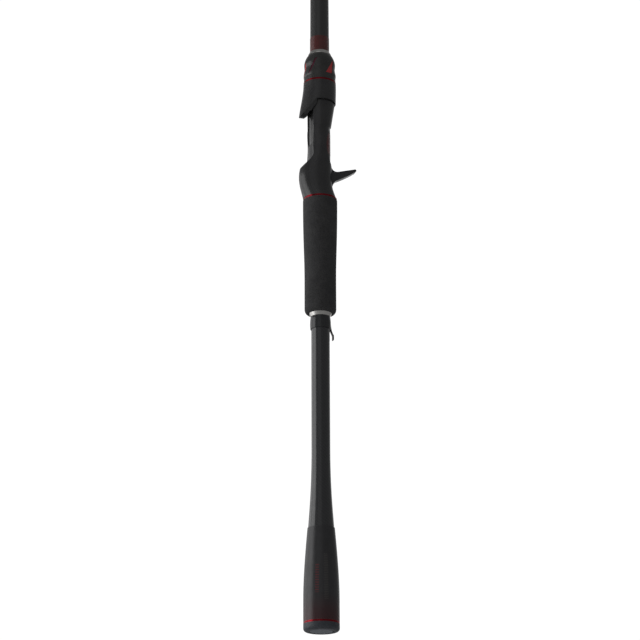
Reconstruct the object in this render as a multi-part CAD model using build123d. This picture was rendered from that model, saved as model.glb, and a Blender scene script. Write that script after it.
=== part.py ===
from build123d import *
import os

os.makedirs("parts", exist_ok=True)

# A casting rod with a trigger reel seat. +Z runs along the rod from the butt to the tip, the origin is
# the centre of the butt's end face, the reel and the line guides are on the -X side, and the trigger
# and the hook keeper are on the +X side. Sizes are in mm. A radius ends in _R.

# ---------------------------------------------------------------- driving dimensions
ROD_LENGTH = 2205

# butt
BUTT_R = 13.65
CAP_TOP = 5.6
CAP_EDGE = 2.4
CAP_STEM_R = 8.5
CAP_STEM_TOP = 22
DISC_R = 8.6
DISC_THICK = 1.2
DISC_GROOVE = 0.4
RING_THICK = 1.4
SLEEVE_STRAIGHT_TOP = 24
SLEEVE_TOP = 78.6
SLEEVE_STEP = 0.42

# handle tube
TUBE_R = 7.22
TUBE_BORE_R = 5.9
TUBE_FOOT_R = 10.0
TUBE_TOP = 256
FLARE_TOP = 142
SPIGOT_BOTTOM = 206
SPIGOT_TOP = 320
SPIGOT_HOLE_R = 4.4

# hook keeper
COLLAR_BOTTOM = 237.0
COLLAR_TOP = 247.0
COLLAR_R = 8.15
HOOK_X = 10.2
HOOK_TIP = 229.0
HOOK_WIRE_R = 0.45
HOOK_WIDTH = 2.4

# rear grip
GRIP_BOTTOM = 249.8
GRIP_TOP = 344.9
GRIP_LOW_R = 12.45
GRIP_HIGH_R = 13.66
GRIP_BORE_R = 8.9
CHECK_BOTTOM = 247.2

# blank
BLANK_R = 8.35
BLANK_BORE_R = 6.3
BLANK_STRAIGHT_TOP = 405
BLANK_CHECK_Z = 477
BLANK_CHECK_R = 7.75
BLANK_TIP_R = 1.2
BLANK_TIP_BORE_R = 0.55
BLANK_TOP = ROD_LENGTH - 9

# reel seat
SEAT_BOTTOM = GRIP_TOP + RING_THICK
SEAT_TOP = 430.5
SEAT_TAPER_LOW = 408
SEAT_TAPER_TOP = 427
SEAT_BORE_R = 8.45
SEAT_ARBOR_R = 8.8
SEAT_ARBOR_TOP = 372
SEAT_RING_R = 13.4
SADDLE_R = 9.3
PLATFORM_X = -8.0
PLATFORM_TOP = 432.5
FOOT_WIDTH = 14.6
FIXED_POCKET_BOTTOM = 360
POCKET_ROOF_R = 12.9
CUSHION_THICK = 0.8
CUSHION_WIDTH = 10.5
TRIGGER_WIDTH = 7.4
TRIGGER_EDGE = 1.0
SCOOP_X = 2.2
SCOOP_Z = 390.5
SCOOP_R = 27.9
RAIL_WINDOW_Z = 413
RAIL_WINDOW_LENGTH = 44
RAIL_WINDOW_WIDTH = 12.4

# threaded barrel, movable hood and lock nut
GUIDE_R = 10.6
GUIDE_TOP = 444.3
GUIDE_CLEARANCE = 0.06
THREAD_CORE_R = 8.5
THREAD_CREST_R = 9.15
THREAD_PITCH = 2.0
THREAD_CLEARANCE = 0.2
THREAD_LOW = 446.3
THREAD_LENGTH = 24
NUT_TURNS_UP = 5
NUT_THREAD_LENGTH = 11
BARREL_TOP = 471.6
KEY_WIDTH = 3.0
KEY_DEPTH = 1.0
KEY_CLEARANCE = 0.1
HOOD_SKIRT = 429.3
HOOD_LIP = 415.4
HOOD_TOP = 446.3
HOOD_STEP = 440
HOOD_POCKET_TOP = 432
SKIRT_BORE_R = 12.25
TONGUE_X = -6
TONGUE_HALF_WIDTH = 12
HOOD_R = 13.15
NECK_R = 11.3
NECK_TOP = 451.7
NUT_BOTTOM = HOOD_TOP + RING_THICK + 0.2
NUT_TOP = 471.6
NUT_R = 12.6
NUT_FLANGE_R = 12.8
NUT_GROOVE_R = 12.3
NUT_TOP_R = 9.6
NUT_COUNTERBORE_R = 11.5
NUT_THREAD_BOTTOM = 454.9
SNAP_RING_LOW = 449.9
SNAP_RING_THICK = 0.9
SNAP_RING_R = 11.95
SNAP_GROOVE_R = 10.98
SNAP_CLEARANCE = 0.1
SLASH_COUNT = 6
SLASH_START = -131
SLASH_DEPTH = 0.7
SLASH_RELIEF = 0.22
UPPER_CHECK_TOP = 475.0
BASE_WINDING_TOP = 487.8

# line guides, counted from the tip
GUIDE_COUNT = 8
GUIDE_FIRST_GAP = 95
GUIDE_GAP_GROWTH = 1.14
SMALL_RING_BORE_R = 3.0
LARGE_RING_GROWTH = 1.28
SMALL_RING_COUNT = 5
RING_WALL = 1.5
RING_DEPTH = 2.0
BAND_WALL = 0.9
FOOT_LENGTH = 14
FOOT_THICK = 1.1
FOOT_WIDTH_AT_GUIDE = 2.6
WINDING_WALL = 0.45


# ---------------------------------------------------------------- helpers
def turned(*curves):
    """A solid of revolution about Z from curves drawn as (radius, height)."""
    outline = Curve() + list(curves)
    return revolve(make_face(Plane.XZ * outline), Axis.Z)


def turned_polygon(*points):
    return turned(Polyline(*points, close=True))


def ring(inner_r, outer_r, low, high, centre=(0, 0)):
    return rod(outer_r, low, high, centre) - rod(inner_r, low, high, centre)


def rod(radius, low, high, centre=(0, 0)):
    return Pos(centre[0], centre[1], (low + high) / 2) * Cylinder(radius, high - low)


def block(x_range, y_range, z_range):
    low = Vector(x_range[0], y_range[0], z_range[0])
    high = Vector(x_range[1], y_range[1], z_range[1])
    size = high - low
    return Pos(*((low + high) / 2)) * Box(size.X, size.Y, size.Z)


def bar(start, end, radius):
    """A round bar from one point to another."""
    run = Vector(*end) - Vector(*start)
    plane = Plane(origin=start, z_dir=run)
    return plane * Cylinder(radius, run.length, align=(Align.CENTER, Align.CENTER, Align.MIN))


def side_plate(outline, half_width):
    """Extrudes a face drawn in the XZ plane to both sides of it."""
    return extrude(Plane.XZ * make_face(outline), half_width, both=True)


def oval(z, reel_side, trigger_side, half_width):
    """A closed section at height z, with its own depth towards the reel and towards the trigger."""
    reel_half = EllipticalCenterArc((0, 0), reel_side, half_width, start_angle=90, arc_size=180)
    trigger_half = EllipticalCenterArc((0, 0), trigger_side, half_width, start_angle=-90, arc_size=180)
    return Pos(0, 0, z) * make_face(reel_half + trigger_half)


def blank_radius(z):
    if z <= BLANK_STRAIGHT_TOP:
        return BLANK_R
    if z <= BLANK_CHECK_Z:
        along = (z - BLANK_STRAIGHT_TOP) / (BLANK_CHECK_Z - BLANK_STRAIGHT_TOP)
        return BLANK_R + along * (BLANK_CHECK_R - BLANK_R)
    along = (z - BLANK_CHECK_Z) / (BLANK_TOP - BLANK_CHECK_Z)
    return BLANK_CHECK_R + along * (BLANK_TIP_R - BLANK_CHECK_R)


def blank_core(low, high, allowance=0.0):
    """The solid that the blank's outside fills between two heights."""
    heights = [low] + [z for z in (BLANK_STRAIGHT_TOP, BLANK_CHECK_Z) if low < z < high] + [high]
    side = [(blank_radius(z) + allowance, z) for z in heights]
    return turned_polygon((0, low), *side, (0, high))


# ---------------------------------------------------------------- butt
def butt_cap():
    body = turned(
        Line((0, 0), (BUTT_R - CAP_EDGE, 0)),
        RadiusArc((BUTT_R - CAP_EDGE, 0), (BUTT_R, CAP_EDGE), -CAP_EDGE),
        Polyline(
            (BUTT_R, CAP_EDGE),
            (BUTT_R, CAP_TOP),
            (CAP_STEM_R, CAP_TOP),
            (CAP_STEM_R, CAP_STEM_TOP),
            (0, CAP_STEM_TOP),
            (0, 0),
        ),
    )
    return body - rod(DISC_R + DISC_GROOVE, 0, DISC_THICK)


def butt_cap_disc():
    disc = rod(DISC_R, 0, DISC_THICK)
    return fillet(disc.edges().group_by(Axis.Z)[0], 0.25)


def butt_ring():
    return ring(CAP_STEM_R, BUTT_R, CAP_TOP, CAP_TOP + RING_THICK)


def butt_sleeve():
    low = CAP_TOP + RING_THICK
    top_r = TUBE_FOOT_R + SLEEVE_STEP
    bore_low = CAP_STEM_TOP
    return turned(
        Line((BUTT_R, low), (BUTT_R, SLEEVE_STRAIGHT_TOP)),
        Bezier((BUTT_R, SLEEVE_STRAIGHT_TOP), (BUTT_R, 40), (12.1, 60), (top_r, SLEEVE_TOP)),
        Polyline(
            (top_r, SLEEVE_TOP),
            (TUBE_FOOT_R, SLEEVE_TOP),
            (TUBE_FOOT_R, bore_low),
            (CAP_STEM_R, bore_low),
            (CAP_STEM_R, low),
            (BUTT_R, low),
        ),
    )


def handle_tube():
    flare = Bezier((TUBE_FOOT_R, SLEEVE_TOP), (8.7, 96), (TUBE_R, 112), (TUBE_R, FLARE_TOP))
    inside = Polyline(
        (TUBE_R, FLARE_TOP),
        (TUBE_R, TUBE_TOP),
        (TUBE_BORE_R, TUBE_TOP),
        (TUBE_BORE_R, FLARE_TOP - 30),
        (TUBE_FOOT_R - 1.4, SLEEVE_TOP - 4),
        (TUBE_FOOT_R - 1.4, CAP_STEM_TOP),
        (TUBE_FOOT_R, CAP_STEM_TOP),
        (TUBE_FOOT_R, SLEEVE_TOP),
    )
    return turned(flare, inside)


def joint_spigot():
    """The carbon plug that joins the handle tube to the blank."""
    return turned_polygon(
        (SPIGOT_HOLE_R, SPIGOT_BOTTOM),
        (TUBE_BORE_R, SPIGOT_BOTTOM),
        (TUBE_BORE_R, TUBE_TOP),
        (BLANK_BORE_R, TUBE_TOP),
        (BLANK_BORE_R, SPIGOT_TOP),
        (SPIGOT_HOLE_R, SPIGOT_TOP),
    )


# ---------------------------------------------------------------- hook keeper and rear grip
def hook_keeper():
    collar = turned(
        Line((TUBE_R, COLLAR_BOTTOM), (COLLAR_R - 0.3, COLLAR_BOTTOM)),
        Bezier(
            (COLLAR_R - 0.3, COLLAR_BOTTOM),
            (COLLAR_R + 0.1, COLLAR_BOTTOM + 2),
            (COLLAR_R + 0.2, COLLAR_TOP - 4),
            (TUBE_R + 0.45, COLLAR_TOP),
        ),
        Polyline((TUBE_R + 0.45, COLLAR_TOP), (TUBE_R, COLLAR_TOP), (TUBE_R, COLLAR_BOTTOM)),
    )
    outer = HOOK_X + HOOK_WIRE_R
    inner = HOOK_X - HOOK_WIRE_R
    bend = COLLAR_BOTTOM - 4
    root_r = TUBE_R + 0.3
    outline = Curve() + [
        Spline((root_r, COLLAR_TOP - 1.2), (COLLAR_R + 0.35, COLLAR_BOTTOM + 2), (9.4, bend + 2.2), (outer, bend)),
        Line((outer, bend), (outer, HOOK_TIP + HOOK_WIRE_R)),
        ThreePointArc((outer, HOOK_TIP + HOOK_WIRE_R), (HOOK_X, HOOK_TIP), (inner, HOOK_TIP + HOOK_WIRE_R)),
        Line((inner, HOOK_TIP + HOOK_WIRE_R), (inner, bend - 0.4)),
        Spline((inner, bend - 0.4), (8.9, bend + 1.6), (root_r, COLLAR_BOTTOM + 0.4)),
        Line((root_r, COLLAR_BOTTOM + 0.4), (root_r, COLLAR_TOP - 1.2)),
    ]
    return collar + side_plate(outline, HOOK_WIDTH / 2)


def lower_check():
    return turned_polygon(
        (TUBE_R, CHECK_BOTTOM),
        (TUBE_R + 0.45, CHECK_BOTTOM),
        (GRIP_BORE_R, GRIP_BOTTOM),
        (GRIP_BORE_R, TUBE_TOP),
        (TUBE_R, TUBE_TOP),
    )


def rear_grip():
    low_r = GRIP_LOW_R
    high_r = GRIP_HIGH_R
    edge = 0.6
    foot_top = GRIP_BOTTOM + 3.8
    return turned(
        Line((GRIP_BORE_R, GRIP_BOTTOM), (10.2, GRIP_BOTTOM)),
        Bezier((10.2, GRIP_BOTTOM), (11.3, GRIP_BOTTOM + 0.2), (low_r, GRIP_BOTTOM + 1.6), (low_r, foot_top)),
        Line((low_r, foot_top), (low_r, 278)),
        Bezier((low_r, 278), (low_r, 298), (high_r, 310), (high_r, GRIP_TOP - edge)),
        RadiusArc((high_r, GRIP_TOP - edge), (high_r - edge, GRIP_TOP), edge),
        Polyline((high_r - edge, GRIP_TOP), (GRIP_BORE_R, GRIP_TOP), (GRIP_BORE_R, GRIP_BOTTOM)),
    )


def grip_arbor():
    return ring(BLANK_R, GRIP_BORE_R, TUBE_TOP, GRIP_TOP)


def seat_ring():
    return ring(BLANK_R, SEAT_RING_R, GRIP_TOP, SEAT_BOTTOM)


# ---------------------------------------------------------------- reel seat
def trigger():
    outline = Curve() + [
        Bezier((8.3, 376.6), (8.8, 372.4), (10.9, 370.2), (14.5, 371.1)),
        Line((14.5, 371.1), (28.0, 374.8)),
        ThreePointArc((28.0, 374.8), (29.7, 374.4), (28.9, 372.7)),
        Bezier((28.9, 372.7), (26.2, 370.3), (19.0, 366.3), (14.4, 364.0)),
        Bezier((14.4, 364.0), (12.0, 362.8), (9.9, 361.0), (9.0, 355.0)),
        Polyline((9.0, 355.0), (4.0, 355.0), (4.0, 376.6), (8.3, 376.6)),
    ]
    plate = side_plate(outline, TRIGGER_WIDTH / 2)
    side_edges = plate.faces().filter_by(Axis.Y).edges()
    return fillet([edge for edge in side_edges if edge.center().X > BLANK_R + 0.4], TRIGGER_EDGE)


def seat_shell():
    sections = [
        oval(SEAT_BOTTOM, 13.6, 12.7, 13.2),
        oval(352.5, 15.3, 10.6, 12.5),
        oval(358.5, 16.8, 9.3, 12.1),
        oval(365, 17.3, 9.2, 11.7),
        oval(372.5, 16.2, 9.2, 11.3),
        oval(383, 12.6, 8.9, 11.0),
        oval(396, 11.0, 8.8, 11.0),
        oval(SEAT_TAPER_LOW, 11.0, 8.8, 11.0),
    ]
    taper = [
        oval(SEAT_TAPER_LOW, 11.0, 8.8, 11.0),
        oval(SEAT_TAPER_TOP, 11.4, 11.9, 11.5),
        oval(SEAT_TOP, 11.4, 11.9, 11.5),
    ]
    return loft(sections) + loft(taper, ruled=True)


def foot_pocket(low, high):
    """The space for one end of the reel's foot, which is curved to lie on the saddle."""
    half = FOOT_WIDTH / 2
    return block((-20, PLATFORM_X), (-half, half), (low, high)) & ring(SADDLE_R, POCKET_ROOF_R, low, high)


def seat_body():
    # the mouth of the fixed hood slopes down to the rails that the reel foot lies on
    mouth = Curve() + [
        Line((-19, 368.8), (-11.5, 376.3)),
        Bezier((-11.5, 376.3), (-9.7, 378.1), (PLATFORM_X, 380.4), (PLATFORM_X, 383.5)),
        Polyline((PLATFORM_X, 383.5), (PLATFORM_X, SEAT_TOP + 5), (-30, SEAT_TOP + 5), (-30, 368.8), (-19, 368.8)),
    ]
    mouth_cut = side_plate(mouth, 30) - rod(SADDLE_R, SEAT_BOTTOM, SEAT_TOP)
    pocket = foot_pocket(FIXED_POCKET_BOTTOM, 400)
    # the window that shows the blank on the trigger side is a shallow scoop
    scoop = Pos(SCOOP_X + SCOOP_R, 0, SCOOP_Z) * Rot(90, 0, 0) * Cylinder(SCOOP_R, 40)
    # the window between the rails on the reel side
    slot = SlotOverall(RAIL_WINDOW_LENGTH, RAIL_WINDOW_WIDTH, rotation=90)
    rail_window = Pos(-12, 0, RAIL_WINDOW_Z) * extrude(Plane.YZ * slot, 8, both=True)
    body = seat_shell() - mouth_cut - pocket - scoop - rail_window + trigger()
    return body - rod(SEAT_BORE_R, SEAT_BOTTOM, SEAT_TOP) - rod(SEAT_ARBOR_R, SEAT_BOTTOM, SEAT_ARBOR_TOP)


def seat_arbor():
    return ring(BLANK_R, SEAT_ARBOR_R, SEAT_BOTTOM, SEAT_ARBOR_TOP)


def hood_cushion(low, high):
    """A thin curved pad under the roof of a pocket."""
    pad = ring(POCKET_ROOF_R - CUSHION_THICK, POCKET_ROOF_R, low, high)
    return pad & block((-20, PLATFORM_X), (-CUSHION_WIDTH / 2, CUSHION_WIDTH / 2), (low, high))


def window_winding():
    """The thin wound band that shows in the scoop, on the trigger side of the blank only."""
    return ring(BLANK_R, BLANK_R + 0.08, 384, 402) & block((2, 20), (-20, 20), (384, 402))


# ---------------------------------------------------------------- thread, hood and nut
def thread_ridge(base_r, crest_r, low, high):
    """A helical ridge of trapezium section, sunk a little into the wall that it stands on."""
    sunk_r = base_r - 0.05 if crest_r > base_r else base_r + 0.05
    helix = Pos(0, 0, low) * Helix(THREAD_PITCH, high - low, base_r)
    section = Polyline(
        (sunk_r, low - 0.45), (crest_r, low - 0.2), (crest_r, low + 0.2), (sunk_r, low + 0.45), close=True
    )
    return sweep(Plane.XZ * make_face(section), path=helix, is_frenet=True)


def thread_barrel():
    body = turned_polygon(
        (0, SEAT_TOP),
        (GUIDE_R, SEAT_TOP),
        (GUIDE_R, GUIDE_TOP),
        (THREAD_CORE_R, GUIDE_TOP + 1),
        (THREAD_CORE_R, BARREL_TOP),
        (0, BARREL_TOP),
    )
    body += thread_ridge(THREAD_CORE_R, THREAD_CREST_R, THREAD_LOW, THREAD_LOW + THREAD_LENGTH)
    body -= blank_core(SEAT_TOP, BARREL_TOP)
    body -= block((-20, PLATFORM_X), (-20, 20), (SEAT_TOP, PLATFORM_TOP))
    return body - block(
        (GUIDE_R - KEY_DEPTH, GUIDE_R + 1), (-KEY_WIDTH / 2, KEY_WIDTH / 2), (SEAT_TOP, GUIDE_TOP + 1)
    )


def hood_outside():
    sections = [
        oval(HOOD_LIP - 2, 17.5, 12.9, 14.2),
        oval(HOOD_SKIRT, 15.2, 12.9, 13.3),
        oval(HOOD_STEP - 2.5, 13.9, 13.15, 13.2),
        oval(HOOD_TOP, HOOD_R, HOOD_R, HOOD_R),
    ]
    return loft(sections)


def movable_hood():
    body = hood_outside()
    bore_r = GUIDE_R + GUIDE_CLEARANCE
    body += rod(NECK_R, HOOD_TOP - 1, NECK_TOP)
    cavity = rod(SKIRT_BORE_R, 400, HOOD_STEP)
    end_wall = block((-20, PLATFORM_X - 0.15), (-20, 20), (HOOD_POCKET_TOP, HOOD_STEP + 1))
    bore = rod(bore_r, 400, NECK_TOP)
    pocket = foot_pocket(400, HOOD_POCKET_TOP)
    # the skirt is cut square, and the lip over the reel foot is a rounded tongue
    skirt_cut = block((TONGUE_X, 20), (-20, 20), (400, HOOD_SKIRT))
    half = TONGUE_HALF_WIDTH
    tongue = Curve() + [
        Spline(
            (-half, HOOD_SKIRT), (-0.62 * half, 419.6), (0, HOOD_LIP), (0.62 * half, 419.6), (half, HOOD_SKIRT),
            tangents=((0.3, -1), (0.3, 1)),
        ),
        Polyline(
            (half, HOOD_SKIRT), (20, HOOD_SKIRT), (20, 400), (-20, 400), (-20, HOOD_SKIRT), (-half, HOOD_SKIRT)
        ),
    ]
    tongue_cut = extrude(Plane.YZ.offset(TONGUE_X) * make_face(tongue), amount=-20)
    body = body - (cavity - end_wall) - bore - pocket - skirt_cut - tongue_cut
    body -= ring(SNAP_GROOVE_R, NECK_R + 1, SNAP_RING_LOW, SNAP_RING_LOW + SNAP_RING_THICK)
    key = block(
        (GUIDE_R - KEY_DEPTH + KEY_CLEARANCE, bore_r + 0.3),
        (-KEY_WIDTH / 2 + KEY_CLEARANCE, KEY_WIDTH / 2 - KEY_CLEARANCE),
        (HOOD_STEP, HOOD_TOP),
    )
    return body + key


def hood_ring():
    return ring(NECK_R, HOOD_R - 0.05, HOOD_TOP, HOOD_TOP + RING_THICK)


def snap_ring():
    """The split wire ring that keeps the nut on the hood's neck, so that the nut lifts the hood."""
    low = SNAP_RING_LOW + SNAP_CLEARANCE
    high = SNAP_RING_LOW + SNAP_RING_THICK - SNAP_CLEARANCE
    whole = ring(SNAP_GROOVE_R + 0.05, SNAP_RING_R, low, high)
    return whole - block((0, 20), (-0.8, 0.8), (low, high))


def nut_outline(inset=0.0):
    """The outside of the nut as a solid, or that solid shrunk by inset."""
    flange_r = NUT_FLANGE_R - inset
    waist_r = NUT_GROOVE_R - inset
    body_r = NUT_R - inset
    top_r = NUT_TOP_R - inset
    return turned(
        Polyline((0, NUT_BOTTOM), (flange_r, NUT_BOTTOM), (flange_r, 451.6)),
        Spline(
            (flange_r, 451.6), (flange_r + 0.25, 454.2), (waist_r, 459.2), (body_r, 463.4), (body_r - 0.7, 467.3),
            (top_r, NUT_TOP),
        ),
        Polyline((top_r, NUT_TOP), (0, NUT_TOP), (0, NUT_BOTTOM)),
    )


def slash_prisms():
    """Slanted swooshes round the nut, slender and broad by turns."""
    slender = [(-4.6, 452.8), (-3.4, 452.8), (3.4, 466.2), (1.2, 465.4), (-2.2, 459.2)]
    broad = [(-3.3, 452.8), (2.4, 452.8), (4.0, 457.6), (4.9, 466.4), (0.3, 458.4)]
    prisms = []
    for i in range(SLASH_COUNT):
        points = slender if i % 2 == 0 else broad
        face = make_face(Plane.YZ * Polyline(*points, close=True))
        prisms.append(Rot(0, 0, SLASH_START + i * 360 / SLASH_COUNT) * extrude(face, amount=16))
    return prisms


def nut_shapes():
    """The lock nut, and the red inlays that lie a little under its surface."""
    bore_r = THREAD_CREST_R + THREAD_CLEARANCE
    body = nut_outline() - rod(bore_r, NUT_BOTTOM, NUT_TOP)
    body -= rod(NUT_COUNTERBORE_R, NUT_BOTTOM, NUT_THREAD_BOTTOM)
    body -= ring(
        NUT_COUNTERBORE_R - 1, SNAP_RING_R + 0.1, SNAP_RING_LOW, SNAP_RING_LOW + SNAP_RING_THICK
    )
    # the nut's ridge runs midway between two turns of the barrel's
    ridge_low = THREAD_LOW + (NUT_TURNS_UP + 0.5) * THREAD_PITCH
    body += thread_ridge(bore_r, THREAD_CORE_R + THREAD_CLEARANCE, ridge_low, ridge_low + NUT_THREAD_LENGTH)
    under = rod(NUT_R - SLASH_DEPTH, NUT_BOTTOM, NUT_TOP)
    shell = nut_outline(SLASH_RELIEF)
    inlays = []
    for prism in slash_prisms():
        recess = prism - under
        body -= recess
        inlays += (shell & recess).solids()
    return body, Compound(children=inlays)


def upper_check():
    low = BARREL_TOP + 0.2
    body = turned_polygon(
        (0, low), (9.4, low), (9.4, low + 0.9), (8.2, UPPER_CHECK_TOP), (0, UPPER_CHECK_TOP)
    )
    return body - blank_core(low, UPPER_CHECK_TOP)


def base_winding():
    low = UPPER_CHECK_TOP
    return blank_core(low, BASE_WINDING_TOP, 0.12) - blank_core(low, BASE_WINDING_TOP)


# ---------------------------------------------------------------- blank
def blank():
    top = BLANK_TOP
    return turned_polygon(
        (BLANK_BORE_R, TUBE_TOP),
        (BLANK_R, TUBE_TOP),
        (BLANK_R, BLANK_STRAIGHT_TOP),
        (BLANK_CHECK_R, BLANK_CHECK_Z),
        (BLANK_TIP_R, top),
        (BLANK_TIP_BORE_R, top),
        (BLANK_BORE_R - 0.1, BLANK_CHECK_Z),
        (BLANK_BORE_R, BLANK_STRAIGHT_TOP),
    )


# ---------------------------------------------------------------- line guides
def guide_heights():
    """Distances of the guides from the butt, first the one nearest the tip."""
    heights = []
    z = ROD_LENGTH
    gap = GUIDE_FIRST_GAP
    for _ in range(GUIDE_COUNT):
        z -= gap
        heights.append(z)
        gap *= GUIDE_GAP_GROWTH
    return heights


def ring_bore(index):
    return SMALL_RING_BORE_R * LARGE_RING_GROWTH ** max(0, index - SMALL_RING_COUNT + 1)


def line_ring(bore_r, x, z):
    """A ceramic ring with a short straight bore and rounded lips."""
    outer = bore_r + RING_WALL
    half = RING_DEPTH / 2
    lip = 0.45
    shape = turned(
        Line((bore_r, -half + lip), (bore_r, half - lip)),
        RadiusArc((bore_r, half - lip), (bore_r + lip, half), lip),
        Polyline((bore_r + lip, half), (outer, half), (outer, -half), (bore_r + lip, -half)),
        RadiusArc((bore_r + lip, -half), (bore_r, -half + lip), lip),
    )
    return Pos(x, 0, z) * shape


def foot(tip_end, root_end, surface_x):
    """A flat foot on the blank that thins towards its free end."""
    outline = Polyline(
        (surface_x, tip_end),
        (surface_x - 0.35, tip_end),
        (surface_x - FOOT_THICK, (2 * tip_end + root_end) / 3),
        (surface_x - FOOT_THICK, root_end),
        (surface_x, root_end),
        close=True,
    )
    return side_plate(outline, FOOT_WIDTH_AT_GUIDE / 2)


def guide(index, z):
    """One double foot guide: (frame, ceramic ring, two thread windings)."""
    bore_r = ring_bore(index)
    band_in = bore_r + RING_WALL
    band_out = band_in + BAND_WALL
    spread = band_out * 1.35
    foot_run = FOOT_LENGTH + band_out * 0.5
    low = z - spread - foot_run
    high = z + spread + foot_run
    blank_r = blank_radius(low)
    surface_x = -(blank_r + 0.03)
    ring_x = surface_x - band_out * 2.0
    wire_r = 0.62 + 0.05 * bore_r
    foot_x = surface_x - FOOT_THICK / 2
    frame = ring(band_in, band_out, z - RING_DEPTH * 0.4, z + RING_DEPTH * 0.4, (ring_x, 0))
    for side in (-1, 1):
        end = (ring_x + 0.4 * band_out, side * (band_in + BAND_WALL / 2) * 0.92, z)
        frame += bar((foot_x, side * 0.55, z + spread + 0.6), end, wire_r)
        frame += bar((foot_x, side * 0.55, z - spread - 0.6), end, wire_r)
    frame -= rod(band_in, z - 2 * RING_DEPTH, z + 2 * RING_DEPTH, (ring_x, 0))
    frame -= blank_core(low - 1, high + 1)
    feet = [foot(high, z + spread - 0.4, surface_x), foot(low, z - spread + 0.4, surface_x)]
    for piece in feet:
        frame += piece
    frame -= blank_core(low - 1, high + 1)
    windings = []
    for near, far in ((z + spread + 2.2, high + 2.5), (z - spread - 2.2, low - 2.5)):
        bottom, top = sorted((near, far))
        outer_r = blank_r + WINDING_WALL + FOOT_THICK / 2
        wound = rod(outer_r, bottom, top, (-FOOT_THICK / 2, 0))
        wound = chamfer(wound.edges().filter_by(GeomType.CIRCLE), 0.4)
        wound = wound - blank_core(bottom - 1, top + 1) - frame
        windings.append(wound)
    pieces = []
    for wound in windings:
        pieces += wound.solids()
    return frame, line_ring(bore_r, ring_x, z), Compound(children=pieces)


def tip_top():
    """(tube and frame, ceramic ring, thread winding)."""
    bore_r = SMALL_RING_BORE_R
    band_in = bore_r + RING_WALL
    band_out = band_in + BAND_WALL
    tube_low = BLANK_TOP - 14
    tube_r = BLANK_TIP_R + 0.75
    tube_top = BLANK_TOP + 1
    ring_x = -(tube_r + band_out - 0.6)
    ring_z = ROD_LENGTH - RING_DEPTH / 2
    frame = rod(tube_r, tube_low, tube_top)
    frame -= blank_core(tube_low - 1, BLANK_TOP)
    band = ring(band_in, band_out, ring_z - RING_DEPTH * 0.4, ring_z + RING_DEPTH * 0.4, (ring_x, 0))
    frame += band
    for side in (-1, 1):
        end = (ring_x, side * (band_in + BAND_WALL / 2), ring_z)
        frame += bar((-0.4, side * 1.2, tube_low + 5), end, 0.6)
    frame += bar((0, 0, tube_top - 1.6), (ring_x + band_in + BAND_WALL / 2, 0, ring_z), 0.75)
    frame -= rod(band_in, ring_z - 2 * RING_DEPTH, ring_z + 2 * RING_DEPTH, (ring_x, 0))
    frame -= blank_core(tube_low - 1, BLANK_TOP)
    winding = rod(tube_r - 0.1, tube_low - 4, tube_low)
    winding = chamfer(winding.edges().group_by(Axis.Z)[0], 0.3)
    winding -= blank_core(tube_low - 6, tube_low + 2)
    return frame, line_ring(bore_r, ring_x, ring_z), winding


# ---------------------------------------------------------------- files
def write(shape, name):
    export_step(shape, f"parts/{name}.step")


write(butt_cap(), "butt_cap")
write(butt_cap_disc(), "butt_cap_disc")
write(butt_ring(), "butt_ring")
write(butt_sleeve(), "butt_sleeve")
write(handle_tube(), "handle_tube")
write(joint_spigot(), "joint_spigot")
write(hook_keeper(), "hook_keeper")
write(lower_check(), "lower_winding_check")
write(rear_grip(), "rear_grip")
write(grip_arbor(), "grip_arbor")
write(seat_ring(), "seat_ring")
write(seat_body(), "reel_seat_body")
write(seat_arbor(), "seat_arbor")
write(hood_cushion(FIXED_POCKET_BOTTOM + 0.5, 375), "fixed_hood_cushion")
write(window_winding(), "window_winding")
write(thread_barrel(), "thread_barrel")
write(movable_hood(), "movable_hood")
write(hood_cushion(419.5, HOOD_POCKET_TOP - 0.5), "movable_hood_cushion")
write(hood_ring(), "hood_ring")
write(snap_ring(), "nut_snap_ring")
nut, inlays = nut_shapes()
write(nut, "lock_nut")
write(inlays, "lock_nut_inlays")
write(upper_check(), "upper_winding_check")
write(base_winding(), "base_winding")
write(blank(), "blank")
for index, height in enumerate(guide_heights()):
    frame, ceramic, windings = guide(index, height)
    write(frame, f"guide_frame_{index + 1}")
    write(ceramic, f"guide_ring_{index + 1}")
    write(windings, f"guide_windings_{index + 1}")
tip_frame, tip_ring, tip_winding = tip_top()
write(tip_frame, "tip_top_frame")
write(tip_ring, "tip_top_ring")
write(tip_winding, "tip_top_winding")
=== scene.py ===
from math import cos, pi, radians, sin

import bpy
from mathutils import Matrix, Vector


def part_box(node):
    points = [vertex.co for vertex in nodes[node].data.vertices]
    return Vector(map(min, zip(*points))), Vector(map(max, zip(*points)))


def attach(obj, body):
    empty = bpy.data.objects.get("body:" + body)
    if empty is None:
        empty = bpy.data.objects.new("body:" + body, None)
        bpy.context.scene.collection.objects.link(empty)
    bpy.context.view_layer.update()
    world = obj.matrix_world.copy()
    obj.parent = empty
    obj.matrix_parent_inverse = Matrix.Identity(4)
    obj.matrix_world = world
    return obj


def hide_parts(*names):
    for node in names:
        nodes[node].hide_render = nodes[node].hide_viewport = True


# The looks of a casting rod with a trigger reel seat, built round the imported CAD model. The rod stands
# along +Z with its butt at the origin, the reel side is -X and the trigger side is +X. Lengths are in
# metres, and heights come from the boxes of the CAD nodes.

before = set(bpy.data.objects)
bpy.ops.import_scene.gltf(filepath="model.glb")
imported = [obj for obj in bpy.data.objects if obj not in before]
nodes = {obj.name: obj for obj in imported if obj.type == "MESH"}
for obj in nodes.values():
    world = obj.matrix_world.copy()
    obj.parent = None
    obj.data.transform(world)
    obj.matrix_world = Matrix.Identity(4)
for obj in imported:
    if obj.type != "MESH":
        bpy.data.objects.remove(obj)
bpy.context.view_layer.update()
MM = 0.001

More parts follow.
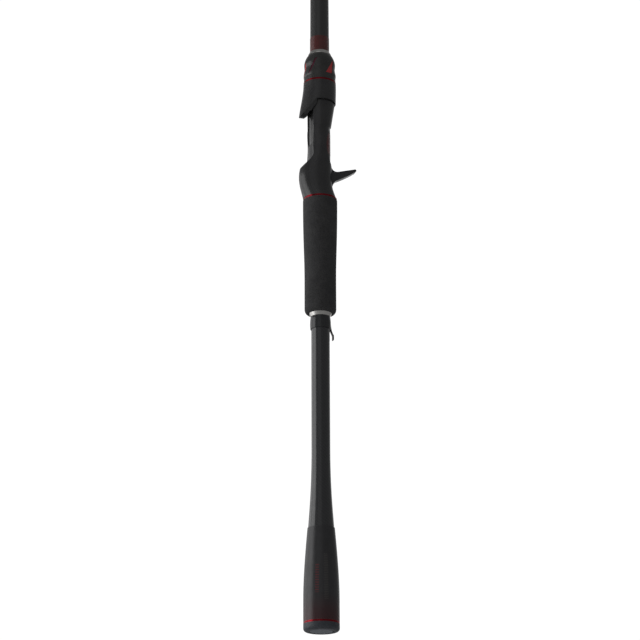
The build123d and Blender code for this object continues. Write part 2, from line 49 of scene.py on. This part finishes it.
# camera, light and floor
CAMERA_AZIMUTH = radians(-18.0)
CAMERA_ELEVATION = radians(-19.132)
CAMERA_AIM = radians(0.0134)
CAMERA_DISTANCE = 1.571
CAMERA_HEIGHT = -0.300
CAMERA_LENS = 119.9
CAMERA_ROLL = radians(-0.19)
CAMERA_FAR = 100.0
FLOOR_HEIGHT = -0.34
FLOOR_RADIUS = 40.0
SEEN_GLOW = 1.05        # the white that the camera sees behind the rod
BACK_GLOW = 1.0         # the light from straight behind the rod
ROOM_GLOW = 0.22        # the light from everywhere else
GLOW_EDGE = radians(70.0)
GLOW_FULL = radians(20.0)
# each panel: name, turn from the camera's side in degrees, distance, height of its middle, width, height
# and radiance
PANELS = (
    ("left_softbox", -77.5, 1.6, 0.17, 1.01, 1.93, 1.6),
    ("rear_left_softbox", -115, 1.6, 0.17, 1.16, 1.93, 0.9),
    ("front_panel", -13, 2.6, 1.2, 1.75, 5.0, 0.14),
)

# patterns on the surfaces
INLAY_START = radians(131.0)
INLAY_PAIRS = 3.0
FADE_HEIGHT = 0.022
THREAD_PITCH = 0.24 * MM
TUBE_BAND = 0.004
BLANK_BAND = 0.003
# each column of bars: azimuth and width in radians, its ends above the sleeve's foot, the pitch of its
# bars, how strongly it shows and its colour
BAR_COLUMNS = (
    (radians(-32.0), 0.24, 0.020, 0.042, 1.9 * MM, 0.6, (0.20, 0.030, 0.035)),
    (radians(-2.0), 0.26, 0.015, 0.050, 1.3 * MM, 0.35, (0.13, 0.12, 0.11)),
)

# the foam grip's outline: radii, and heights above its foot or below its top
GRIP_BORE = 8.92 * MM
GRIP_FOOT = 10.2 * MM
GRIP_SLIM = 12.43 * MM
GRIP_ROLL = 3.8 * MM
GRIP_SWELL = 28.2 * MM
GRIP_SHOULDER = 0.6 * MM
GRIP_SINK = 0.02 * MM
GRIP_STEPS = 144


# ---------------------------------------------------------------- stage
def direction(azimuth, elevation=0.0):
    """The unit vector from the rod towards a camera at this azimuth and elevation."""
    return Vector((sin(azimuth) * cos(elevation), -cos(azimuth) * cos(elevation), sin(elevation)))


def make_camera():
    camera = bpy.data.objects.new("camera", bpy.data.cameras.new("camera"))
    bpy.context.scene.collection.objects.link(camera)
    place = direction(CAMERA_AZIMUTH) * CAMERA_DISTANCE + Vector((0.0, 0.0, CAMERA_HEIGHT))
    back = direction(CAMERA_AZIMUTH + CAMERA_AIM, CAMERA_ELEVATION)
    turn = back.to_track_quat("Z", "Y").to_matrix().to_4x4()
    camera.matrix_world = Matrix.Translation(place) @ turn @ Matrix.Rotation(CAMERA_ROLL, 4, "Z")
    camera.data.lens = CAMERA_LENS
    camera.data.clip_end = CAMERA_FAR
    bpy.context.scene.camera = camera


def make_floor():
    """A plain pale floor under the rod, which is held up in the air."""
    bpy.ops.mesh.primitive_circle_add(
        vertices=96, radius=FLOOR_RADIUS, fill_type="NGON", location=(0.0, 0.0, FLOOR_HEIGHT)
    )
    floor = bpy.context.object
    floor.name = "floor"
    material, tree, shader = new_material("floor_pale", (0.84, 0.84, 0.84), 0.9)
    mottle(tree, shader, (0.80, 0.80, 0.80), (0.86, 0.86, 0.86), 3.0)
    floor.data.materials.append(material)


def area_light(name, turn, distance, middle, width, height, radiance):
    """A soft panel that faces the rod. It is turned from the camera's side by an angle in degrees."""
    light = bpy.data.objects.new(name, bpy.data.lights.new(name, "AREA"))
    bpy.context.scene.collection.objects.link(light)
    light.data.shape = "RECTANGLE"
    light.data.size = width
    light.data.size_y = height
    light.data.energy = radiance * width * height * pi
    away = direction(CAMERA_AZIMUTH + radians(turn))
    light.location = away * distance + Vector((0.0, 0.0, middle))
    light.rotation_euler = away.to_track_quat("Z", "Y").to_euler()
    light.visible_camera = False


def make_world():
    """White all round for the camera; as light, white behind the rod and dim on the camera's side."""
    world = bpy.data.worlds.new("studio")
    bpy.context.scene.world = world
    world.use_nodes = True
    tree = world.node_tree
    tree.nodes.clear()
    facing = add(tree, "ShaderNodeVectorMath", {
        0: add(tree, "ShaderNodeTexCoord").outputs["Generated"],
        1: -direction(CAMERA_AZIMUTH),
    }, operation="DOT_PRODUCT").outputs["Value"]
    behind = remap(tree, facing, cos(GLOW_EDGE), cos(GLOW_FULL), 0.0, 1.0)
    strength = remap(tree, maths(tree, "POWER", behind, 3.0), 0.0, 1.0, ROOM_GLOW, BACK_GLOW)
    lit = add(tree, "ShaderNodeBackground", {"Strength": strength})
    seen = add(tree, "ShaderNodeBackground", {"Color": (1.0, 1.0, 1.0, 1.0), "Strength": SEEN_GLOW})
    rays = add(tree, "ShaderNodeLightPath").outputs["Is Camera Ray"]
    choose = add(tree, "ShaderNodeMixShader", {0: rays, 1: lit.outputs[0], 2: seen.outputs[0]})
    add(tree, "ShaderNodeOutputWorld", {"Surface": choose.outputs[0]})


def make_stage():
    bpy.context.scene.view_settings.view_transform = "Standard"
    make_camera()
    make_floor()
    make_world()
    for panel in PANELS:
        area_light(*panel)


# ---------------------------------------------------------------- node helpers
def add(tree, kind, inputs=None, **settings):
    """Adds a node; each input is a value or another node's output."""
    made = tree.nodes.new(kind)
    for key, value in settings.items():
        setattr(made, key, value)
    for socket, value in (inputs or {}).items():
        if isinstance(value, bpy.types.NodeSocket):
            tree.links.new(value, made.inputs[socket])
        else:
            made.inputs[socket].default_value = value
    return made


def maths(tree, operation, a, b=0.0):
    """One Math node's result; a and b are numbers or outputs."""
    return add(tree, "ShaderNodeMath", {0: a, 1: b}, operation=operation).outputs[0]


def remap(tree, value, low, high, to_low, to_high, curve="LINEAR"):
    return add(tree, "ShaderNodeMapRange", {
        "Value": value, "From Min": low, "From Max": high, "To Min": to_low, "To Max": to_high,
    }, interpolation_type=curve).outputs["Result"]


def spot(tree):
    """The point on the surface, in metres in the shared frame."""
    return add(tree, "ShaderNodeTexCoord").outputs["Object"]


def parts_of(tree):
    """x, y and z of the point on the surface."""
    return add(tree, "ShaderNodeSeparateXYZ", {0: spot(tree)}).outputs


def stretched(tree, x, y, z):
    return add(tree, "ShaderNodeVectorMath", {0: spot(tree), 1: (x, y, z)}, operation="MULTIPLY").outputs[0]


def round_the_axis(tree, turns, rise):
    """A vector of (angle round the rod, 0, height), scaled for a texture that wraps the rod."""
    x, y, z = parts_of(tree)
    angle = maths(tree, "ARCTAN2", y, x)
    return add(tree, "ShaderNodeCombineXYZ", {
        0: maths(tree, "MULTIPLY", angle, turns / (2 * pi)),
        2: maths(tree, "MULTIPLY", z, rise),
    }).outputs[0]


def noise(tree, scale, detail=2.0, vector=None):
    return add(tree, "ShaderNodeTexNoise", {
        "Vector": vector or spot(tree), "Scale": scale, "Detail": detail, "Roughness": 0.55,
    }).outputs["Fac"]


def blend(tree, factor, a, b):
    """One colour to another; a and b are colours or outputs."""
    paired = {0: factor}
    for socket, value in ((6, a), (7, b)):
        paired[socket] = value if isinstance(value, bpy.types.NodeSocket) else (*value, 1.0)
    return add(tree, "ShaderNodeMix", paired, data_type="RGBA").outputs[2]


def bump(tree, shader, height, depth, into=("Normal",)):
    """Raises the surface by height, which runs from 0 to 1, times depth in metres."""
    raised = add(tree, "ShaderNodeBump", {"Height": height, "Distance": depth, "Strength": 1.0})
    before = shader.inputs["Normal"].links
    if before:
        tree.links.new(before[0].from_socket, raised.inputs["Normal"])
    for name in into:
        tree.links.new(raised.outputs[0], shader.inputs[name])


def edge_wear(tree, radius, amount):
    """A mask that is amount on sharp edges and 0 elsewhere, broken up by fine noise."""
    rounded = add(tree, "ShaderNodeBevel", {"Radius": radius}, samples=4).outputs[0]
    flat = add(tree, "ShaderNodeNewGeometry").outputs["Normal"]
    along = add(tree, "ShaderNodeVectorMath", {0: rounded, 1: flat}, operation="DOT_PRODUCT").outputs["Value"]
    edge = remap(tree, along, 0.99, 0.80, 0.0, amount)
    broken = remap(tree, noise(tree, 900.0, 3.0), 0.35, 0.65, 0.25, 1.0)
    return maths(tree, "MULTIPLY", edge, broken)


def new_material(name, colour, roughness, metallic=0.0, coat=0.0, coat_roughness=0.03):
    material = bpy.data.materials.new(name)
    material.use_nodes = True
    tree = material.node_tree
    shader = tree.nodes["Principled BSDF"]
    shader.inputs["Base Color"].default_value = (*colour, 1.0)
    shader.inputs["Roughness"].default_value = roughness
    shader.inputs["Metallic"].default_value = metallic
    shader.inputs["Coat Weight"].default_value = coat
    shader.inputs["Coat Roughness"].default_value = coat_roughness
    return material, tree, shader


def mottle(tree, shader, dark, light, scale, vector=None):
    """Colour that wanders between two shades. Returns the colour, for more to be mixed in."""
    amount = remap(tree, noise(tree, scale, 3.0, vector), 0.3, 0.7, 0.0, 1.0)
    colour = blend(tree, amount, dark, light)
    tree.links.new(colour, shader.inputs["Base Color"])
    return colour


def uneven_gloss(tree, shader, low, high, scale, vector=None):
    """Roughness that wanders, as handling leaves it."""
    value = remap(tree, noise(tree, scale, 3.0, vector), 0.3, 0.7, low, high)
    tree.links.new(value, shader.inputs["Roughness"])


def worn(tree, shader, colour, worn_colour, radius, amount):
    """Shows worn_colour along the sharp edges."""
    mask = edge_wear(tree, radius, amount)
    tree.links.new(blend(tree, mask, colour, worn_colour), shader.inputs["Base Color"])


# ---------------------------------------------------------------- materials
def moulded(name, dark, light, smooth, rough, grain_depth):
    """Moulded black plastic with a satin gloss, a very fine grain and faint rubbed edges."""
    material, tree, shader = new_material(name, dark, smooth)
    colour = mottle(tree, shader, dark, light, 90.0)
    worn(tree, shader, colour, (0.07, 0.07, 0.075), 0.35 * MM, 0.6)
    uneven_gloss(tree, shader, smooth, rough, 140.0)
    bump(tree, shader, noise(tree, 2600.0, 2.0), grain_depth)
    bump(tree, shader, noise(tree, 160.0, 1.0), 0.02 * MM)
    return material


def anodised_red(name, colour, roughness):
    """Red anodised aluminium with the fine rings that a lathe leaves."""
    material, tree, shader = new_material(name, colour, roughness, metallic=1.0)
    dark = tuple(0.72 * c for c in colour)
    shades = mottle(tree, shader, dark, colour, 120.0)
    worn(tree, shader, shades, (0.85, 0.45, 0.45), 0.12 * MM, 0.5)
    uneven_gloss(tree, shader, 0.8 * roughness, 1.5 * roughness, 300.0)
    bump(tree, shader, noise(tree, 1.0, 2.0, stretched(tree, 60.0, 60.0, 9000.0)), 0.008 * MM)
    return material


def inlay_red():
    """Red foil inlays, wine red in the slender swooshes and bright in the broad ones between them."""
    material, tree, shader = new_material("inlay_red_foil", (0.4, 0.03, 0.04), 0.34, metallic=0.35)
    x, y, _ = parts_of(tree)
    angle = maths(tree, "ADD", maths(tree, "ARCTAN2", y, x), INLAY_START)
    swoosh = maths(tree, "COSINE", maths(tree, "MULTIPLY", angle, INLAY_PAIRS))
    broad = remap(tree, swoosh, 0.2, -0.2, 0.0, 1.0)
    wine = mottle(tree, shader, (0.080, 0.012, 0.030), (0.125, 0.018, 0.042), 900.0)
    shades = blend(tree, broad, wine, (0.62, 0.055, 0.060))
    worn(tree, shader, shades, (0.75, 0.35, 0.35), 0.12 * MM, 0.5)
    uneven_gloss(tree, shader, 0.26, 0.42, 400.0)
    bump(tree, shader, noise(tree, 1400.0, 2.0), 0.006 * MM)
    return material


def cap_rubber():
    material, tree, shader = new_material("butt_rubber", (0.055, 0.06, 0.075), 0.5)
    colour = mottle(tree, shader, (0.040, 0.046, 0.058), (0.060, 0.067, 0.082), 240.0)
    worn(tree, shader, colour, (0.12, 0.12, 0.13), 0.5 * MM, 0.5)
    uneven_gloss(tree, shader, 0.40, 0.58, 160.0)
    bump(tree, shader, noise(tree, 2200.0, 3.0), 0.05 * MM)
    return material


def cap_disc():
    """Satin aluminium, brushed in circles."""
    material, tree, shader = new_material("butt_disc_metal", (0.20, 0.21, 0.25), 0.38, metallic=0.9)
    x, y, _ = parts_of(tree)
    squares = maths(tree, "ADD", maths(tree, "MULTIPLY", x, x), maths(tree, "MULTIPLY", y, y))
    radius = maths(tree, "SQRT", squares)
    angle = maths(tree, "ARCTAN2", y, x)
    circles = add(tree, "ShaderNodeCombineXYZ", {
        0: maths(tree, "MULTIPLY", radius, 6000.0), 1: maths(tree, "MULTIPLY", angle, 1.5),
    }).outputs[0]
    colour = mottle(tree, shader, (0.11, 0.13, 0.17), (0.21, 0.23, 0.27), 1.0, circles)
    worn(tree, shader, colour, (0.62, 0.64, 0.68), 0.35 * MM, 0.9)
    uneven_gloss(tree, shader, 0.28, 0.48, 1.0, circles)
    bump(tree, shader, noise(tree, 1.0, 2.0, circles), 0.015 * MM)
    return material


def printed_bars(tree, azimuth, width, low, high, pitch):
    """A mask of short bars in a column up the sleeve, centred at an azimuth round the rod."""
    x, y, z = parts_of(tree)
    turn = maths(tree, "ARCTAN2", x, maths(tree, "MULTIPLY", y, -1.0))
    across = maths(tree, "ABSOLUTE", maths(tree, "SUBTRACT", turn, azimuth))
    inside = remap(tree, across, 0.5 * width, 0.42 * width, 0.0, 1.0)
    middle = 0.5 * (low + high)
    along = maths(tree, "ABSOLUTE", maths(tree, "SUBTRACT", z, middle))
    column = remap(tree, along, 0.5 * (high - low), 0.49 * (high - low), 0.0, 1.0)
    wave = maths(tree, "SINE", maths(tree, "MULTIPLY", z, 2 * pi / pitch))
    bars = remap(tree, wave, -0.15, 0.15, 0.0, 1.0)
    return maths(tree, "MULTIPLY", maths(tree, "MULTIPLY", inside, column), bars)


def sleeve_satin():
    """Satin black lacquer that turns a deep wine red towards the butt, with two faint columns of bars."""
    material, tree, shader = new_material("sleeve_satin_lacquer", (0.018, 0.018, 0.020), 0.33)
    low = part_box("butt_sleeve")[0].z
    fade = remap(tree, parts_of(tree)[2], low + FADE_HEIGHT, low, 0.0, 1.0, "SMOOTHSTEP")
    black = mottle(tree, shader, (0.032, 0.032, 0.035), (0.042, 0.042, 0.046), 110.0)
    colour = blend(tree, maths(tree, "MULTIPLY", fade, 0.85), black, (0.060, 0.014, 0.017))
    for azimuth, width, bottom, top, pitch, amount, ink in BAR_COLUMNS:
        bars = printed_bars(tree, azimuth, width, low + bottom, low + top, pitch)
        colour = blend(tree, maths(tree, "MULTIPLY", bars, amount), colour, ink)
    worn(tree, shader, colour, (0.10, 0.10, 0.10), 0.3 * MM, 0.5)
    uneven_gloss(tree, shader, 0.29, 0.38, 130.0)
    bump(tree, shader, noise(tree, 2400.0, 2.0), 0.012 * MM)
    return material


def carbon_weave(tree, shader, dark, light, size):
    """The faint slanted bands of wrapped carbon tape under a clear coat."""
    vector = round_the_axis(tree, 10.0, 1.0 / size)
    band = add(tree, "ShaderNodeTexWave", {"Vector": vector, "Scale": 1.0, "Distortion": 0.4, "Detail": 1.0},
               wave_type="BANDS", bands_direction="DIAGONAL").outputs["Fac"]
    fibres = noise(tree, 1.0, 2.0, stretched(tree, 5200.0, 5200.0, 180.0))
    amount = maths(tree, "MULTIPLY", band, remap(tree, fibres, 0.3, 0.7, 0.2, 1.0))
    colour = blend(tree, amount, dark, light)
    tree.links.new(colour, shader.inputs["Base Color"])
    return fibres


def gloss_tube():
    """A carbon tube under a thick, glossy clear coat."""
    material, tree, shader = new_material("tube_gloss_clearcoat", (0.010, 0.010, 0.012), 0.42, coat=1.0,
                                          coat_roughness=0.035)
    shader.inputs["Specular IOR Level"].default_value = 0.25
    carbon_weave(tree, shader, (0.026, 0.027, 0.030), (0.038, 0.039, 0.043), TUBE_BAND)
    uneven_gloss(tree, shader, 0.36, 0.5, 200.0)
    bump(tree, shader, noise(tree, 200.0, 1.0), 0.004 * MM, ("Coat Normal",))
    return material


def blank_gloss():
    """The blank's thinner, semi-gloss coat over the same carbon."""
    material, tree, shader = new_material("blank_clearcoat", (0.012, 0.012, 0.013), 0.45, coat=0.8,
                                          coat_roughness=0.16)
    shader.inputs["Specular IOR Level"].default_value = 0.3
    carbon_weave(tree, shader, (0.030, 0.030, 0.030), (0.046, 0.045, 0.044), BLANK_BAND)
    uneven_gloss(tree, shader, 0.4, 0.55, 200.0)
    bump(tree, shader, noise(tree, 340.0, 1.0), 0.010 * MM, ("Coat Normal",))
    return material


def bare_carbon():
    material, tree, shader = new_material("carbon_sanded", (0.03, 0.03, 0.03), 0.6)
    fibres = carbon_weave(tree, shader, (0.022, 0.022, 0.023), (0.045, 0.045, 0.047), BLANK_BAND)
    bump(tree, shader, fibres, 0.02 * MM)
    return material


def polished_silver():
    material, tree, shader = new_material("check_polished_metal", (0.60, 0.59, 0.57), 0.16, metallic=1.0)
    colour = mottle(tree, shader, (0.54, 0.53, 0.51), (0.64, 0.63, 0.61), 200.0)
    worn(tree, shader, colour, (0.78, 0.78, 0.78), 0.15 * MM, 0.6)
    uneven_gloss(tree, shader, 0.10, 0.24, 500.0)
    bump(tree, shader, noise(tree, 1.0, 2.0, stretched(tree, 50.0, 50.0, 8000.0)), 0.006 * MM)
    return material


def grip_foam():
    """Ground closed-cell foam: small open pores darkened with painted shade, a sanded nap and slightly shiny
    patches from the hand.
    """
    material, tree, shader = new_material("grip_foam", (0.026, 0.026, 0.027), 0.85)
    shader.inputs["Specular IOR Level"].default_value = 0.35
    pores = add(tree, "ShaderNodeTexVoronoi", {"Vector": spot(tree), "Scale": 1500.0, "Randomness": 1.0},
                feature="SMOOTH_F1").outputs["Distance"]
    pore_depth_and_shade = remap(tree, pores, 0.10, 0.45, 0.0, 1.0)
    shades = mottle(tree, shader, (0.050, 0.050, 0.052), (0.068, 0.068, 0.070), 150.0)
    # the pores are painted darker: painted shade in the pits, from the same mask that sets the pores' bump
    # depth
    tree.links.new(blend(tree, pore_depth_and_shade, (0.028, 0.028, 0.029), shades), shader.inputs["Base Color"])
    uneven_gloss(tree, shader, 0.70, 0.95, 60.0)
    bump(tree, shader, pore_depth_and_shade, 0.09 * MM)
    bump(tree, shader, noise(tree, 420.0, 4.0), 0.09 * MM)
    return material


def thread_winding(name, dark, light, coat_roughness):
    """Fine thread laid side by side round the blank, under clear finish."""
    material, tree, shader = new_material(name, dark, 0.5, coat=0.6, coat_roughness=coat_roughness)
    shader.inputs["Specular IOR Level"].default_value = 0.2
    z = parts_of(tree)[2]
    turns = maths(tree, "SINE", maths(tree, "MULTIPLY", z, 2 * pi / THREAD_PITCH))
    ridge = remap(tree, turns, -1.0, 1.0, 0.0, 1.0)
    shades = mottle(tree, shader, dark, light, 1.0, stretched(tree, 90.0, 90.0, 2500.0))
    shadowed = blend(tree, remap(tree, ridge, 0.0, 0.5, 0.6, 0.0), shades, tuple(0.3 * c for c in dark))
    tree.links.new(shadowed, shader.inputs["Base Color"])
    uneven_gloss(tree, shader, 0.32, 0.46, 300.0)
    bump(tree, shader, ridge, 0.04 * MM)
    bump(tree, shader, noise(tree, 200.0, 1.0), 0.005 * MM, ("Coat Normal",))
    return material


def soft_pad():
    material, tree, shader = new_material("hood_pad_rubber", (0.03, 0.03, 0.03), 0.8)
    mottle(tree, shader, (0.022, 0.022, 0.022), (0.036, 0.036, 0.037), 500.0)
    bump(tree, shader, noise(tree, 1800.0, 3.0), 0.06 * MM)
    return material


def plain_composite():
    material, tree, shader = new_material("arbor_composite", (0.10, 0.10, 0.10), 0.7)
    mottle(tree, shader, (0.07, 0.07, 0.07), (0.13, 0.13, 0.13), 600.0)
    bump(tree, shader, noise(tree, 900.0, 3.0), 0.05 * MM)
    return material


def spring_steel():
    material, tree, shader = new_material("snap_ring_steel", (0.55, 0.55, 0.56), 0.3, metallic=1.0)
    mottle(tree, shader, (0.48, 0.48, 0.49), (0.62, 0.62, 0.63), 700.0)
    uneven_gloss(tree, shader, 0.22, 0.40, 600.0)
    return material


def guide_metal():
    """Dark coated stainless steel."""
    material, tree, shader = new_material("guide_dark_steel", (0.07, 0.07, 0.075), 0.24, metallic=0.9)
    colour = mottle(tree, shader, (0.055, 0.055, 0.06), (0.085, 0.085, 0.09), 500.0)
    worn(tree, shader, colour, (0.32, 0.32, 0.33), 0.1 * MM, 0.4)
    uneven_gloss(tree, shader, 0.18, 0.32, 700.0)
    bump(tree, shader, noise(tree, 1500.0, 2.0), 0.006 * MM)
    return material


def ceramic():
    material, tree, shader = new_material("ring_ceramic", (0.025, 0.026, 0.030), 0.08)
    mottle(tree, shader, (0.018, 0.019, 0.022), (0.034, 0.035, 0.040), 900.0)
    uneven_gloss(tree, shader, 0.05, 0.14, 900.0)
    bump(tree, shader, noise(tree, 700.0, 1.0), 0.004 * MM)
    return material


# ---------------------------------------------------------------- pieces that replace soft CAD solids
def lathe(name, profile, steps):
    """A closed, smooth ring-shaped mesh turned about Z from a closed list of (radius, height)."""
    count = len(profile)
    points = []
    faces = []
    for i in range(steps):
        angle = 2 * pi * i / steps
        points += [(r * cos(angle), r * sin(angle), z) for r, z in profile]
        start, after = i * count, (i + 1) % steps * count
        for j in range(count):
            k = (j + 1) % count
            faces.append((start + j, after + j, after + k, start + k))
    mesh = bpy.data.meshes.new(name)
    mesh.from_pydata(points, [], faces)
    mesh.validate()
    mesh.shade_smooth()
    piece = bpy.data.objects.new(name, mesh)
    bpy.context.scene.collection.objects.link(piece)
    return piece


def bezier(start, first, second, end, steps):
    """Points along a cubic curve of (radius, height), without its start."""
    points = []
    for i in range(1, steps + 1):
        t = i / steps
        weights = ((1 - t) ** 3, 3 * t * (1 - t) ** 2, 3 * t * t * (1 - t), t ** 3)
        corners = (start, first, second, end)
        points.append(tuple(sum(w * c[axis] for w, c in zip(weights, corners)) for axis in (0, 1)))
    return points


def foam_grip(material):
    """The foam grip, with a rolled lower end, a slow swell and a softly rounded shoulder at the top."""
    low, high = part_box("rear_grip")
    full = high.x - GRIP_SINK
    foot = (GRIP_FOOT, low.z)
    waist = (GRIP_SLIM, low.z + GRIP_ROLL)
    swell = (GRIP_SLIM, low.z + GRIP_SWELL)
    top = (full, high.z - GRIP_SHOULDER)
    profile = [(GRIP_BORE, low.z), foot]
    profile += bezier(foot, (11.3 * MM, low.z + 0.2 * MM), (GRIP_SLIM, low.z + 1.6 * MM), waist, 14)
    profile += bezier(waist, (GRIP_SLIM, low.z + 12 * MM), (GRIP_SLIM, low.z + 20 * MM), swell, 16)
    profile += bezier(swell, (GRIP_SLIM, low.z + 48.2 * MM), (full, low.z + 60.2 * MM), top, 50)
    profile += bezier(top, (full, high.z), (full, high.z), (full - GRIP_SHOULDER, high.z), 8)
    profile.append((GRIP_BORE, high.z))
    piece = lathe("foam_grip", profile, GRIP_STEPS)
    piece.data.materials.append(material)
    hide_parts("rear_grip")
    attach(piece, "rod")


# ---------------------------------------------------------------- build
def paint(material, *names):
    for name in names:
        for one in nodes[name].material_slots:
            one.material = material


def numbered(prefix):
    return [name for name in nodes if name.startswith(prefix)]


make_stage()
red_ring = anodised_red("ring_red_anodised", (0.26, 0.014, 0.022), 0.24)
red_thread = thread_winding("thread_dark_red", (0.110, 0.022, 0.022), (0.170, 0.034, 0.032), 0.05)
black_thread = thread_winding("thread_black", (0.010, 0.010, 0.011), (0.020, 0.020, 0.022), 0.06)
paint(cap_rubber(), "butt_cap")
paint(cap_disc(), "butt_cap_disc")
paint(red_ring, "butt_ring", "seat_ring", "hood_ring")
paint(sleeve_satin(), "butt_sleeve")
paint(gloss_tube(), "handle_tube")
paint(bare_carbon(), "joint_spigot")
keeper_gloss_black = moulded(
    "keeper_gloss_black", (0.026, 0.027, 0.029), (0.036, 0.037, 0.039), 0.10, 0.18, 0.004 * MM
)
paint(keeper_gloss_black, "hook_keeper")
paint(polished_silver(), "lower_winding_check", "upper_winding_check")
paint(plain_composite(), "grip_arbor", "seat_arbor")
seat_satin_black = moulded(
    "seat_satin_black", (0.032, 0.032, 0.034), (0.044, 0.044, 0.046), 0.20, 0.28, 0.012 * MM
)
paint(seat_satin_black, "reel_seat_body")
paint(soft_pad(), "fixed_hood_cushion", "movable_hood_cushion")
paint(red_thread, "window_winding", "base_winding")
barrel_moulded_black = moulded(
    "barrel_moulded_black", (0.032, 0.032, 0.034), (0.044, 0.044, 0.046), 0.35, 0.45, 0.015 * MM
)
paint(barrel_moulded_black, "thread_barrel")
hood_satin_black = moulded(
    "hood_satin_black", (0.034, 0.034, 0.036), (0.046, 0.046, 0.048), 0.24, 0.32, 0.012 * MM
)
paint(hood_satin_black, "movable_hood")
paint(spring_steel(), "nut_snap_ring")
nut_satin_black = moulded(
    "nut_satin_black", (0.034, 0.034, 0.034), (0.046, 0.046, 0.045), 0.22, 0.30, 0.012 * MM
)
paint(nut_satin_black, "lock_nut")
paint(inlay_red(), "lock_nut_inlays")
paint(blank_gloss(), "blank")
paint(guide_metal(), *numbered("guide_frame_"), "tip_top_frame")
paint(ceramic(), *numbered("guide_ring_"), "tip_top_ring")
paint(black_thread, *numbered("guide_windings_"), "tip_top_winding")
foam_grip(grip_foam())
